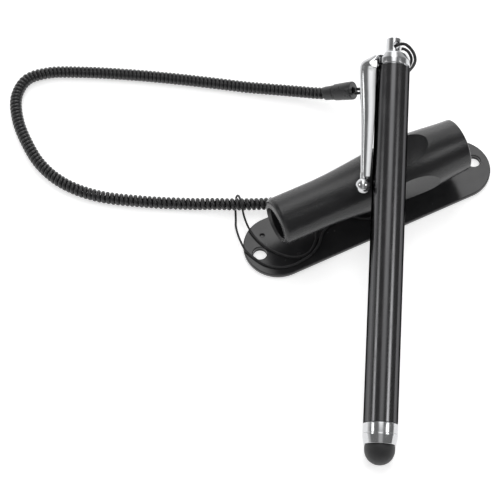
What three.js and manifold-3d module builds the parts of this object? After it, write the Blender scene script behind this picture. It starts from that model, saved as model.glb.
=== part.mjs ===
// Touch-screen stylus on a coil tether, lying across its counter-top holder.
// Units are millimetres, +Z is up. The origin is the middle of the holder plate's underside,
// +X runs along the plate towards the holder's mouth.
import * as THREE from 'three';
import { mergeVertices } from 'three/addons/utils/BufferGeometryUtils.js';
import Module from 'manifold-3d';

const wasm = await Module();
wasm.setup();

// ---- driving dimensions ----------------------------------------------------

// clearances
const seam = 0.3; // between two pieces that meet
const runningFit = 0.4; // between the stylus and the holder's bore, on the radius

// pad under the plate
const padThickness = 0.5;
const padInset = 0.4; // from the plate's edge
const padSeam = 0.05; // between the pad and the plate

// holder plate
const plateLength = 75.2;
const plateWidth = 18.9;
const plateThickness = 1.25;
const mountingHoleSpacing = 67.2;
const mountingHoleDiameter = 3.8;
const mouldPitDiameter = 1.1;
const mouldPitDepth = 0.5;
const mouldPitPlace = { fromEnd: 7.1, aside: 4.8 };

// holder body
const holderLength = 56.4;
const holderAxisHeight = 14.2;
const holderShift = -0.8; // of the tube along X, from the middle of the plate
const holderEndDiameter = 13.2;
const holderMouthDiameter = 14.7;
const holderBellyDiameter = 16.9;
const bellyPlace = 12.5; // along X
const bellyRise = 29; // length of the slope on the narrow side
const bellyFall = 17.5; // length of the slope on the mouth side
const lipRadius = 1.2;
const mouthEdge = 0.4;
const endWall = 3;
const endHoleDiameter = 8.4;
const endHoleDrop = 1.1;
const gripCutRadius = 31;
const gripCutDepth = 1.75; // below the belly's surface
const gripCutPlace = 8.5; // along X
const gripCutTurns = [-8, 93, -109]; // degrees from the crown towards the near side
const neckDiameter = 6.5;

// holder screw, driven from below into the neck
const screwDiameter = 2.9;
const screwHeadDiameter = 5.2;
const screwHeadHeight = 0.55;
const screwLength = 6;
const screwPoint = 0.8; // length of the tapered end
const screwPointDiameter = 0.6;
const screwDriveDiameter = 1.6;
const screwDriveDepth = 0.3;
const screwSink = 0.1; // of the head below the plate's underside
const screwRoom = 0.1; // around the head and the shaft

// stylus, measured along its own axis from the tip
const barrelDiameter = 9;
const barrelWall = 0.7;
const tipDiameter = 8;
const tipWall = 1.4;
const ferruleStart = 5.2;
const ferruleStep = 7.8;
const ferruleEnd = 10.3;
const ferruleMouthDiameter = 8.5;
const ferruleDiameter = 9.3;
const ferruleChamfer = 0.3;
const ferruleStepIn = 0.1;
const spigotLength = 5;
const skirtLength = 3.4;
const skirtInset = 0.6; // of the tip's skirt from its outside
const coreHeadHeight = 1.4;
const coreChamfer = 0.8;
const barrelEnd = 107.3;
const collarHeight = 3.5;
const collarTopDiameter = 7.6;
const collarRimHeight = 1.6;
const collarRound = 0.9;
const plugLength = 9;
const plugFloor = 2.5;
const shankDiameter = 2.6;
const postDiameter = 4.16;
const postHeight = 4.4;
const postFlangeDiameter = 4.7;
const postFlangeHeight = 0.5;
const postChamfer = 0.3;
const lanyardHoleDiameter = 1.9;
const lanyardHoleHeight = 2.2; // above the collar
const lanyardHoleTurn = -158.5;

// pocket clip
const clipTurn = 100.5; // degrees around the stylus axis
const clipSheet = 0.6;
const clipTopWidth = 4.6;
const clipEndWidth = 2.6;
const clipTopDepth = 4.5;
const clipEndDepth = 2.3;
const clipTongueDepth = 0.7;
const clipReach = 9.2; // outer face from the stylus axis, at the top
const clipMidReach = 8.3;
const clipEndReach = 7.75;
const clipDrop = 0.6; // of its tongue below the collar's top
const clipBallDiameter = 4;
const clipBallPlace = 73.5; // along the stylus
const clipBallGap = 0.55; // between the ball and the barrel
const tongueLength = 1.9; // of the clip, inside the collar

// where the stylus lies: its tip rests on the table and its barrel on the holder
const stylusTip = { x: -33.4, y: -67.21 };
const stylusAzimuth = 60.19;
const restGap = 0.4; // between the barrel and the holder where they rest

// tether
const coilDiameter = 3.3;
const connectorDiameter = 5.2;
const connectorNeckDiameter = 3.9;
const connectorLength = 9.2;
const connectorStepPlace = 3.3; // from the narrow end
const connectorStepRise = 0.25; // on the radius
const connectorHoleDiameter = 1.9;
const connectorWall = 0.75;
const connectorEndWall = 1.2;
const connectorChamfer = 0.3;
const crimpPlace = 1; // from the sleeve's narrow end
const crimpLength = 3.6;
const crimpChamfer = 0.2;
const loopDiameter = 0.6;
const penLoopDiameter = 0.85;

// ---- routes of the tether, its connectors and its two loops ---------------------

const coilRadius = coilDiameter / 2;
const tableLine = coilRadius; // height of the coil's centreline on the table
const coilRoute = [
  [6.0, 37.7, 4.5], [4.9, 38.6, 4.05], [-0.6, 43.1, 2.9], [-6.1, 47.3, 2.1],
  [-11.8, 51.3, 1.7], [-17.4, 55.3, tableLine], [-28.8, 63.2, tableLine],
  [-40.5, 70.8, tableLine], [-52.5, 77.8, tableLine], [-60.9, 81.7, tableLine],
  [-67.2, 82.2, tableLine], [-72.1, 78.3, tableLine], [-75.0, 71.0, tableLine],
  [-76.0, 61.8, tableLine], [-75.4, 53.1, tableLine], [-72.2, 44.8, tableLine],
  [-65.8, 37.1, tableLine], [-54.9, 29.4, tableLine], [-43.5, 22.7, 1.8],
  [-37.8, 19.4, 2.4], [-32.7, 16.5, 2.65], [-27.3, 13.9, 2.65], [-23.7, 12.2, 2.9],
  [-20.4, 11.1, 3.6], [-17.8, 10.2, 4.2], [-15.3, 9.2, 4.45],
];
const penConnectorPlace = { start: [6.25, 37.45, 4.7], turn: -42.2, rise: 29 };
const baseConnectorPlace = { start: [-15.0, 9.05, 4.45], turn: -24.5, rise: 0 };

const penLoopRoute = [
  [13.05, 31.95, 9.4], [14.1, 30.95, 10], [15.4, 29.7, 11.1], [17, 28, 12.9],
  [18.7, 25.9, 15.8], [20.1, 23.6, 19.8], [21.2, 21.3, 24.2], [21.9, 19.4, 28.4],
  [22.2, 18.3, 32], [22.15, 17.95, 34.8], [21.8, 18.55, 37], [21.1, 19.7, 38.5],
  [20.3, 20.8, 39.1], [19.4, 21.6, 38.8], [18.8, 22.3, 37.8], [18.4, 23.2, 36],
  [18, 24.1, 34.2], [18.3, 24.46, 33.27], [19.35, 24.58, 32.45], [20.67, 24.29, 32.54],
  [21.68, 23.39, 33.15], [22.14, 21.95, 33.55], [22.23, 20.53, 33.39], [22.12, 19.65, 32.54],
  [21.86, 19.56, 30.9], [21.41, 20.42, 28.22], [20.69, 22.22, 24.55], [19.2, 24.2, 20.4],
  [17.6, 25.9, 16.5], [16, 27.4, 13.3], [14.55, 28.9, 11.05], [13.25, 30.15, 9.6],
  [12.2, 31.1, 8.95],
];

const baseLoopRoute = [
  [-6.5, 4.8, 4.45], [-5.6, 4.3, 4.3], [-4.9, 3.2, 3.7], [-5.2, 2.4, 3],
  [-6.4, 1.5, 2.4], [-9, 0.9, 2.2], [-13.2, 0.7, 2.2], [-16.6, -0.9, 2.2],
  [-18.3, -3.4, 2.2], [-20.9, -5.6, 2.2], [-23.6, -6.2, 2.2], [-26.2, -5.4, 2.2],
  [-28.2, -3.8, 2.2], [-30.2, -1.2, 2.2], [-31.6, 1.3, 2.2], [-32.6, 4.6, 2.2],
  [-32.9, 8.2, 2.5], [-32.7, 11.2, 3.3], [-32.3, 13.2, 4.3], [-31.9, 14.8, 4.95],
  [-31.5, 16.4, 5.05], [-31.3, 17.9, 4.3], [-31.4, 18.7, 2.8], [-31.8, 18.5, 1.2],
  [-32.4, 17.4, 0.4], [-33.1, 16, 0.35], [-33.8, 14.5, 0.5], [-34.6, 12.8, 1],
  [-35.6, 10.8, 1.8], [-36.4, 8, 2.3], [-36.8, 5.2, 2.3], [-36.8, 2.2, 2.2],
  [-35.8, -0.8, 2.2], [-34.5, -3.5, 2.2], [-32.9, -5.3, 2.2], [-30.6, -6.8, 2.2],
  [-28, -7.5, 2.2], [-25.2, -7.5, 2.2], [-21.4, -6.8, 2.2], [-18.2, -5, 2.2],
  [-15.6, -2.3, 2.2], [-12.6, -0.8, 2.2], [-9, -0.4, 2.2], [-5.8, -1.1, 2.2],
  [-3.6, -2.9, 2.2], [0.4, -4.2, 2.2], [3.4, -2.9, 2.2], [4.5, 0.2, 2.2],
  [3.4, 3.2, 2.4], [0.5, 4.9, 3], [-2.6, 5.5, 3.9], [-4.9, 5.5, 4.4],
  [-6.2, 5.6, 4.45],
];

// ---- finishes -----------------------------------------------------------------

const finish = (color, roughness, metalness) =>
  new THREE.MeshStandardMaterial({ color, roughness, metalness });
const glossBlack = () => finish(0x141416, 0.18, 0.0);
const satinBlack = () => finish(0x1c1c1e, 0.5, 0.0);
const blackAnodised = () => finish(0x101012, 0.2, 0.4);
const chrome = () => finish(0xd8dadd, 0.08, 1.0);
const darkRubber = () => finish(0x2a2a2b, 0.75, 0.0);
const coatedWire = () => finish(0x18181a, 0.4, 0.0);
const wovenCord = () => finish(0x161617, 0.8, 0.0);
const brass = () => finish(0xb08d4a, 0.35, 1.0);
const steel = () => finish(0x9a9da1, 0.35, 1.0);
const greyPlastic = () => finish(0x55565a, 0.6, 0.0);

// ---- helpers --------------------------------------------------------------------

const degrees = (angle) => THREE.MathUtils.degToRad(angle);

// A closed geometry as a solid that can be joined and cut.
function solidOf(geometry) {
  const bare = geometry.clone();
  bare.deleteAttribute('normal');
  bare.deleteAttribute('uv');
  const merged = mergeVertices(bare, 1e-4);
  const mesh = new wasm.Mesh({
    numProp: 3,
    vertProperties: new Float32Array(merged.attributes.position.array),
    triVerts: new Uint32Array(merged.index.array),
  });
  return new wasm.Manifold(mesh);
}

function geometryOf(solid) {
  const mesh = solid.getMesh();
  const geometry = new THREE.BufferGeometry();
  geometry.setAttribute('position', new THREE.BufferAttribute(mesh.vertProperties, 3));
  geometry.setIndex(new THREE.BufferAttribute(mesh.triVerts, 1));
  geometry.computeVertexNormals();
  return geometry;
}

// A turned piece: [radius, height] pairs from the axis round to the axis, or round a closed ring.
function turned(outline, sides) {
  const points = outline.map(([radius, height]) => new THREE.Vector2(radius, height));
  return new THREE.LatheGeometry(points, sides).rotateX(Math.PI / 2);
}

// Points of an arc in a turned outline, angles in degrees from the outward direction.
function arc(radius, height, size, from, to, steps) {
  const points = [];
  for (let step = 0; step <= steps; step += 1) {
    const angle = degrees(from + ((to - from) * step) / steps);
    points.push([radius + size * Math.cos(angle), height + size * Math.sin(angle)]);
  }
  return points;
}

function upright(radius, from, to, sides) {
  const length = to - from;
  return new THREE.CylinderGeometry(radius, radius, length, sides)
    .rotateX(Math.PI / 2)
    .translate(0, 0, from + length / 2);
}

function along(points) {
  const curve = new THREE.CatmullRomCurve3(points.map((point) => new THREE.Vector3(...point)));
  curve.arcLengthDivisions = 1200;
  return curve;
}

// A plain round tube along a route.
function tube(route, diameter, sides, stepLength) {
  const outline = new THREE.Shape();
  for (let side = 0; side < sides; side += 1) {
    const angle = (2 * Math.PI * side) / sides;
    const x = (diameter / 2) * Math.cos(angle);
    const y = (diameter / 2) * Math.sin(angle);
    if (side === 0) outline.moveTo(x, y);
    else outline.lineTo(x, y);
  }
  outline.closePath();
  const curve = along(route);
  const steps = Math.min(80, Math.ceil(curve.getLength() / stepLength));
  return new THREE.ExtrudeGeometry(outline, { steps, bevelEnabled: false, extrudePath: curve });
}

const model = new THREE.Group();

function piece(name, geometry, material, parent = model) {
  const mesh = new THREE.Mesh(geometry, material);
  mesh.name = name;
  parent.add(mesh);
  return mesh;
}

// ---- pad and holder plate -----------------------------------------------------------

const cutPast = 1; // a cutter runs this far past the faces that it opens
const plateBottom = padThickness + padSeam;
const plateTop = plateBottom + plateThickness;
const screwBottom = plateBottom + screwSink;
const screwTop = screwBottom + screwLength;
const shaftRoom = screwDiameter / 2 + screwRoom;

// A strip with round ends and the two mounting holes.
function mountingStrip(length, width, from, thickness) {
  const endRadius = width / 2;
  const straight = length / 2 - endRadius;
  const outline = new THREE.Shape();
  outline.moveTo(-straight, -endRadius);
  outline.lineTo(straight, -endRadius);
  outline.absarc(straight, 0, endRadius, -Math.PI / 2, Math.PI / 2, false);
  outline.lineTo(-straight, endRadius);
  outline.absarc(-straight, 0, endRadius, Math.PI / 2, Math.PI * 1.5, false);
  const settings = { depth: thickness, bevelEnabled: false, curveSegments: 18 };
  let strip = solidOf(new THREE.ExtrudeGeometry(outline, settings).translate(0, 0, from));
  for (const side of [-1, 1]) {
    const hole = upright(mountingHoleDiameter / 2, from - cutPast, from + thickness + cutPast, 28);
    strip = strip.subtract(solidOf(hole.translate((side * mountingHoleSpacing) / 2, 0, 0)));
  }
  return strip;
}

function basePad() {
  return geometryOf(mountingStrip(
    plateLength - 2 * padInset,
    plateWidth - 2 * padInset,
    0,
    padThickness,
  ));
}

piece('base_pad', basePad(), darkRubber());

function basePlate() {
  let plate = mountingStrip(plateLength, plateWidth, plateBottom, plateThickness);
  const pit = upright(mouldPitDiameter / 2, plateTop - mouldPitDepth, plateTop + cutPast, 12);
  pit.translate(-plateLength / 2 + mouldPitPlace.fromEnd, mouldPitPlace.aside, 0);
  plate = plate.subtract(solidOf(pit));
  const shaftHole = upright(shaftRoom, plateBottom - cutPast, plateTop + cutPast, 20);
  plate = plate.subtract(solidOf(shaftHole));
  const headTop = screwBottom + screwHeadHeight + screwRoom;
  const headHole = upright(screwHeadDiameter / 2 + screwRoom, plateBottom - cutPast, headTop, 28);
  plate = plate.subtract(solidOf(headHole));
  return geometryOf(plate);
}

piece('base_plate', basePlate(), glossBlack());

// ---- holder body: a bellied tube on a short neck ----------------------------------

const holderEndRadius = holderEndDiameter / 2;
const holderMouthRadius = holderMouthDiameter / 2;
const bellyRadius = holderBellyDiameter / 2;
const boreRadius = barrelDiameter / 2 + runningFit;

function holderRadiusAt(x) {
  const slope = x < bellyPlace ? bellyRise : bellyFall;
  const base = x < bellyPlace ? holderEndRadius : holderMouthRadius;
  const share = Math.min(1, Math.abs(x - bellyPlace) / slope);
  return base + (bellyRadius - base) * 0.5 * (1 + Math.cos(Math.PI * share));
}

function holderSkin() {
  const half = holderLength / 2;
  const outline = [[0, -half]];
  for (const point of arc(holderEndRadius - lipRadius, -half + lipRadius, lipRadius, -90, 0, 4)) {
    outline.push(point);
  }
  const from = -half + lipRadius;
  const to = half - mouthEdge;
  const steps = 22;
  for (let step = 1; step < steps; step += 1) {
    const x = from + ((to - from) * step) / steps;
    outline.push([holderRadiusAt(x), x]);
  }
  const mouthRadius = holderRadiusAt(to);
  outline.push([mouthRadius, to], [mouthRadius - mouthEdge, half], [0, half]);
  return solidOf(turned(outline, 40).rotateY(Math.PI / 2));
}

function holderBody() {
  const half = holderLength / 2;
  let body = holderSkin();
  for (const turn of gripCutTurns) {
    const reach = bellyRadius - gripCutDepth + gripCutRadius;
    const cutter = new THREE.CylinderGeometry(gripCutRadius, gripCutRadius, 40, 96)
      .translate(gripCutPlace, 0, reach)
      .rotateX(degrees(turn));
    body = body.subtract(solidOf(cutter));
  }
  body = body.translate(holderShift, 0, holderAxisHeight);
  const neck = upright(neckDiameter / 2, plateTop + seam, holderAxisHeight, 28);
  body = body.add(solidOf(neck));
  const bore = upright(boreRadius, -half + endWall, half + cutPast, 40).rotateY(Math.PI / 2);
  body = body.subtract(solidOf(bore.translate(holderShift, 0, holderAxisHeight)));
  const endHole = upright(endHoleDiameter / 2, -half - cutPast, -half + endWall + cutPast, 36);
  endHole.rotateY(Math.PI / 2).translate(holderShift, 0, holderAxisHeight - endHoleDrop);
  body = body.subtract(solidOf(endHole));
  const pilot = upright(shaftRoom, plateBottom, screwTop + screwRoom, 20);
  body = body.subtract(solidOf(pilot));
  return geometryOf(body);
}

piece('holder_body', holderBody(), satinBlack());

function holderScrew() {
  const shaft = screwDiameter / 2;
  const head = screwHeadDiameter / 2;
  const drive = screwDriveDiameter / 2;
  const driveTop = screwBottom + screwDriveDepth;
  const headTop = screwBottom + screwHeadHeight;
  return turned([
    [0, driveTop], [drive, driveTop], [drive, screwBottom], [head, screwBottom],
    [head, headTop], [shaft, headTop], [shaft, screwTop - screwPoint],
    [screwPointDiameter / 2, screwTop], [0, screwTop],
  ], 20);
}

piece('holder_screw', holderScrew(), steel());

// ---- stylus -------------------------------------------------------------------------

const barrelRadius = barrelDiameter / 2;
const barrelBore = barrelRadius - barrelWall;
const tipRadius = tipDiameter / 2;
const skirtRadius = tipRadius - skirtInset;
const skirtEnd = ferruleStart + skirtLength;
const skirtBore = tipRadius - tipWall;

// How far the stylus axis passes above the holder's axis when the stylus lies at a rise, and where.
function passing(rise) {
  const along = Math.cos(rise) * Math.cos(degrees(stylusAzimuth));
  const across = Math.cos(rise) * Math.sin(degrees(stylusAzimuth));
  const up = Math.sin(rise);
  const drop = holderAxisHeight - tipRadius;
  const travel = (drop * up - stylusTip.y * across) / (across ** 2 + up ** 2);
  return {
    distance: (-stylusTip.y * up - drop * across) / Math.hypot(across, up),
    place: stylusTip.x + travel * along - holderShift,
  };
}

// The rise at which the barrel comes to rest on the holder, found by halving.
function restRise() {
  let low = 0;
  let high = Math.PI / 4;
  for (let round = 0; round < 40; round += 1) {
    const rise = (low + high) / 2;
    const { distance, place } = passing(rise);
    if (distance < barrelRadius + restGap + holderRadiusAt(place)) low = rise;
    else high = rise;
  }
  return high;
}

const stylusPlace = new THREE.Group();
stylusPlace.position.set(stylusTip.x, stylusTip.y, tipRadius);
stylusPlace.rotation.z = degrees(stylusAzimuth);
const stylusTilt = new THREE.Group();
stylusTilt.rotation.y = Math.PI / 2 - restRise();
const stylus = new THREE.Group();
stylus.position.z = -tipRadius;
stylusTilt.add(stylus);
stylusPlace.add(stylusTilt);
model.add(stylusPlace);

function rubberTip() {
  return turned([
    [0, 0], ...arc(0, tipRadius, tipRadius, -80, 0, 8),
    [tipRadius, ferruleStart - seam], [skirtRadius, ferruleStart - seam],
    [skirtRadius, skirtEnd], [skirtBore, skirtEnd],
    ...arc(0, tipRadius, skirtBore, 0, -75, 5), [0, tipRadius - skirtBore],
  ], 32);
}

piece('rubber_tip', rubberTip(), darkRubber(), stylus);

function tipFerrule() {
  const skirtRoom = skirtRadius + seam;
  const outer = ferruleDiameter / 2;
  const spigot = barrelBore - seam;
  const coreRoom = skirtBore;
  const shoulder = skirtEnd + seam;
  return turned([
    [skirtRoom, ferruleStart], [ferruleMouthDiameter / 2, ferruleStart],
    [outer, ferruleStep - ferruleChamfer], [outer, ferruleStep],
    [outer - ferruleStepIn, ferruleStep + ferruleStepIn], [outer - ferruleStepIn, ferruleEnd],
    [spigot, ferruleEnd], [spigot, ferruleEnd + spigotLength],
    [coreRoom, ferruleEnd + spigotLength], [coreRoom, shoulder], [skirtRoom, shoulder],
    [skirtRoom, ferruleStart],
  ], 32);
}

piece('tip_ferrule', tipFerrule(), chrome(), stylus);

function tipCore() {
  const shank = skirtBore - seam;
  const head = barrelBore - seam;
  const headStart = ferruleEnd + spigotLength + seam;
  return turned([
    [0, ferruleStart], [shank - coreChamfer, ferruleStart], [shank, ferruleStart + coreChamfer],
    [shank, headStart], [head, headStart], [head, headStart + coreHeadHeight],
    [0, headStart + coreHeadHeight],
  ], 24);
}

piece('tip_core', tipCore(), brass(), stylus);

piece('pen_barrel', turned([
  [barrelBore, ferruleEnd + seam], [barrelRadius, ferruleEnd + seam],
  [barrelRadius, barrelEnd - seam], [barrelBore, barrelEnd - seam],
  [barrelBore, ferruleEnd + seam],
], 36), blackAnodised(), stylus);

const collarTop = barrelEnd + collarHeight;
const shankRadius = shankDiameter / 2;
const shankRoom = shankRadius + seam;
const shankStart = barrelEnd - plugLength + plugFloor + seam;

piece('top_plug', turned([
  [0, barrelEnd - plugLength], [barrelBore - seam, barrelEnd - plugLength],
  [barrelBore - seam, barrelEnd - seam], [shankRoom, barrelEnd - seam],
  [shankRoom, shankStart - seam], [0, shankStart - seam],
], 28), greyPlastic(), stylus);

// the clip's outer face, as [distance from the stylus axis, place along it, flange depth]
const clipHeight = collarTop - clipDrop;
const clipEnd = clipBallPlace + clipBallDiameter / 2 + seam;
const tongueStart = barrelRadius - tongueLength;
const clipPath = [
  [tongueStart, clipHeight, 0], [barrelRadius, clipHeight, 0],
  [barrelRadius + 1.1, clipHeight - 0.25, 0.1], [barrelRadius + 2.3, clipHeight - 1.0, 0.3],
  [clipReach - 0.8, clipHeight - 2.1, 0.6], [clipReach - 0.15, clipHeight - 3.2, 0.9],
  [clipReach, clipHeight - 4.6, 1],
  [clipMidReach, (clipHeight + clipEnd) / 2, 1], [clipEndReach, clipEnd, 1],
];
const slotWidth = clipTopWidth + 2 * seam;

function clipCollar() {
  const ring = turned([
    [shankRoom, barrelEnd], [barrelRadius, barrelEnd], [barrelRadius, barrelEnd + collarRimHeight],
    ...arc(collarTopDiameter / 2 - collarRound / 2, collarTop - collarRound, collarRound, 30, 90, 3),
    [shankRoom, collarTop], [shankRoom, barrelEnd],
  ], 36);
  const slotFrom = tongueStart - seam;
  const slotBottom = clipHeight - clipTongueDepth - seam;
  const slot = new THREE.BoxGeometry(barrelRadius, slotWidth, collarHeight);
  slot.translate(slotFrom + barrelRadius / 2, 0, slotBottom + collarHeight / 2);
  slot.rotateZ(degrees(clipTurn));
  return geometryOf(solidOf(ring).subtract(solidOf(slot)));
}

piece('clip_collar', clipCollar(), chrome(), stylus);

function lanyardPost() {
  const radius = postDiameter / 2;
  const foot = collarTop + seam;
  const top = collarTop + postHeight;
  const body = solidOf(turned([
    [0, shankStart], [shankRadius, shankStart], [shankRadius, foot],
    [postFlangeDiameter / 2, foot], [postFlangeDiameter / 2, foot + postFlangeHeight],
    [radius, foot + postFlangeHeight], [radius, top - postChamfer],
    [radius - postChamfer, top], [0, top],
  ], 28));
  const hole = upright(lanyardHoleDiameter / 2, -postDiameter, postDiameter, 20)
    .rotateY(Math.PI / 2)
    .rotateZ(degrees(lanyardHoleTurn))
    .translate(0, 0, collarTop + lanyardHoleHeight);
  return geometryOf(body.subtract(solidOf(hole)));
}

piece('lanyard_post', lanyardPost(), chrome(), stylus);

// ---- pocket clip: a sprung channel that ends in a ball ---------------------------------

const clip = new THREE.Group();
clip.rotation.z = degrees(clipTurn);
stylus.add(clip);

// One channel-shaped section, its open side facing the stylus.
function clipSection(path, place) {
  const [reach, height, fullness] = path[place];
  const before = path[Math.max(0, place - 1)];
  const after = path[Math.min(path.length - 1, place + 1)];
  const run = new THREE.Vector2(after[0] - before[0], after[1] - before[1]).normalize();
  const inward = new THREE.Vector2(run.y, -run.x);
  const downShare = Math.min(1, Math.max(0, (clipHeight - height) / (clipHeight - clipEnd)));
  const width = THREE.MathUtils.lerp(clipTopWidth, clipEndWidth, downShare);
  const fullDepth = THREE.MathUtils.lerp(clipTopDepth, clipEndDepth, downShare);
  const depth = THREE.MathUtils.lerp(clipTongueDepth, fullDepth, fullness);
  const half = width / 2;
  const inner = half - clipSheet;
  const corners = [
    [0, -half], [0, half], [depth, half], [depth, inner],
    [clipSheet, inner], [clipSheet, -inner], [depth, -inner], [depth, -half],
  ];
  return corners.map(([inset, aside]) =>
    new THREE.Vector3(reach + inward.x * inset, aside, height + inward.y * inset));
}

function pocketClip() {
  const sections = clipPath.map((_, place) => clipSection(clipPath, place));
  const corners = sections[0].length;
  const positions = sections.flat().flatMap((point) => point.toArray());
  const faces = [];
  for (let row = 0; row + 1 < sections.length; row += 1) {
    for (let corner = 0; corner < corners; corner += 1) {
      const next = (corner + 1) % corners;
      const here = row * corners;
      const there = here + corners;
      faces.push(here + corner, there + next, here + next);
      faces.push(here + corner, there + corner, there + next);
    }
  }
  const web = [[0, 1, 4], [0, 4, 5], [1, 2, 3], [1, 3, 4], [5, 6, 7], [5, 7, 0]];
  const last = (sections.length - 1) * corners;
  for (const [a, b, c] of web) {
    faces.push(a, b, c);
    faces.push(last + a, last + c, last + b);
  }
  const geometry = new THREE.BufferGeometry();
  geometry.setAttribute('position', new THREE.Float32BufferAttribute(positions, 3));
  geometry.setIndex(faces);
  geometry.computeVertexNormals();
  return geometry;
}

piece('pocket_clip', pocketClip(), chrome(), clip);

const ballRadius = clipBallDiameter / 2;
const clipBall = piece('clip_ball', new THREE.SphereGeometry(ballRadius, 24, 14), chrome(), clip);
clipBall.position.set(barrelRadius + clipBallGap + ballRadius, 0, clipBallPlace);

// ---- tether ------------------------------------------------------------------------------

piece('tether_coil', tube(coilRoute, coilDiameter, 10, 4), coatedWire());

const cavityRadius = connectorNeckDiameter / 2 - connectorWall;
const crimpRadius = cavityRadius - seam;

function connectorSleeve() {
  const face = connectorDiameter / 2;
  const neck = connectorNeckDiameter / 2;
  const hole = connectorHoleDiameter / 2;
  const cavityEnd = connectorLength - connectorEndWall;
  return turned([
    [cavityRadius, 0], [neck, 0], [neck + seam / 2, connectorStepPlace - connectorChamfer],
    [neck + seam / 2 + connectorStepRise, connectorStepPlace],
    [face, connectorLength - 4 * connectorChamfer], [face, connectorLength - connectorChamfer],
    [face - connectorChamfer, connectorLength], [hole, connectorLength], [hole, cavityEnd],
    [cavityRadius, cavityEnd - connectorChamfer], [cavityRadius, 0],
  ], 28);
}

function connectorCrimp() {
  const end = crimpPlace + crimpLength;
  return turned([
    [0, crimpPlace], [crimpRadius - crimpChamfer, crimpPlace],
    [crimpRadius, crimpPlace + crimpChamfer], [crimpRadius, end - crimpChamfer],
    [crimpRadius - crimpChamfer, end], [0, end],
  ], 16);
}

for (const [end, place] of [['pen', penConnectorPlace], ['base', baseConnectorPlace]]) {
  const connector = new THREE.Group();
  connector.position.set(...place.start);
  connector.rotation.set(0, Math.PI / 2 - degrees(place.rise), degrees(place.turn), 'ZYX');
  piece(`${end}_connector`, connectorSleeve(), satinBlack(), connector);
  piece(`${end}_crimp`, connectorCrimp(), steel(), connector);
  model.add(connector);
}

piece('pen_loop', tube(penLoopRoute, penLoopDiameter, 8, 1.5), wovenCord());
piece('base_loop', tube(baseLoopRoute, loopDiameter, 8, 1.5), wovenCord());

export default model;
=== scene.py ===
"""Touch-screen stylus on a coil tether, lying across its counter-top holder.

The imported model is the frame. Each operator makes one piece or one group of like pieces round it,
in metres, and gives it its finish.
"""

import math

import bpy
import numpy as np
from bpy.props import FloatProperty, FloatVectorProperty, IntProperty, PointerProperty
from mathutils import Matrix, Vector


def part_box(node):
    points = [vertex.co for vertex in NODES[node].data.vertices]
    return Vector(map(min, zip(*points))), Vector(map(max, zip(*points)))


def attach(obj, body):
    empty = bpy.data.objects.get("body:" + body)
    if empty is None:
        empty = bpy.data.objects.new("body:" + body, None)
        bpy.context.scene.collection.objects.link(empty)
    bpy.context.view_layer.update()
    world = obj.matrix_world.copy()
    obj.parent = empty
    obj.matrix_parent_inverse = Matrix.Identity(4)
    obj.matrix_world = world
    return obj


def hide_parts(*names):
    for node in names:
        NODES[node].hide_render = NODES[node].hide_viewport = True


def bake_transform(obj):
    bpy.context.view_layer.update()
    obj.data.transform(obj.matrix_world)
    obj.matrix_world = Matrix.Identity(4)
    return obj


bl_info = {
    "name": "Tethered Stylus",
    "version": (1, 0, 0),
    "blender": (4, 5, 0),
    "location": "View3D > Sidebar > Stylus",
    "description": "Makes a tethered touch-screen stylus and its holder round a packed frame",
    "category": "Add Mesh",
}

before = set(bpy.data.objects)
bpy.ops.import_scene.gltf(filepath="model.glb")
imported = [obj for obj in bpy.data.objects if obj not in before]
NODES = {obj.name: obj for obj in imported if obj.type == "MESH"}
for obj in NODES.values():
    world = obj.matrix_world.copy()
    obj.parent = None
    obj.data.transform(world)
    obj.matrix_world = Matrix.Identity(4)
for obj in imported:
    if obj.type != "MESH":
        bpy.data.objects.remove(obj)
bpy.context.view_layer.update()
MM = 0.001


# ---- measures taken from the frame -----------------------------------------------------


def corners_of(node):
    """The different vertices of a node, as an array in metres."""
    points = np.array([vertex.co for vertex in NODES[node].data.vertices], float)
    return np.unique(np.round(points, 7), axis=0)


class Turning:
    """The axis of a turned node: where it starts, which way it runs and what lies beside it."""

    def __init__(self, node, towards=None, beside=None):
        points = corners_of(node)
        self.centre = points.mean(axis=0)
        self.axis = np.linalg.svd(points - self.centre)[2][0]
        if towards is not None and (towards - self.centre) @ self.axis < 0:
            self.axis = -self.axis
        self.origin = self.centre
        side = np.array([0.0, 0.0, 1.0]) if beside is None else beside - self.centre
        side = side - (side @ self.axis) * self.axis
        self.side = side / np.linalg.norm(side)

    def start_at(self, node):
        """Moves the origin along the axis to the node's lowest point along it."""
        self.origin = self.centre + self.axis * self.span(node, self.centre)[0]

    def span(self, node, origin=None):
        """Lowest and highest place of a node along the axis, and its largest radius."""
        offsets = corners_of(node) - (self.origin if origin is None else origin)
        places = offsets @ self.axis
        radii = np.linalg.norm(offsets - np.outer(places, self.axis), axis=1)
        return places.min(), places.max(), radii.max()

    def place(self):
        """The matrix that carries a piece made along +Z, clip towards +X, to where it lies."""
        across = np.cross(self.axis, self.side)
        columns = np.column_stack([self.side, across, self.axis, self.origin])
        return Matrix(np.vstack([columns, [0, 0, 0, 1]]).tolist())


STYLUS = Turning(
    "pen_barrel",
    towards=corners_of("clip_collar").mean(axis=0),
    beside=corners_of("clip_ball").mean(axis=0),
)
STYLUS.start_at("rubber_tip")


# ---- settings --------------------------------------------------------------------------


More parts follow.
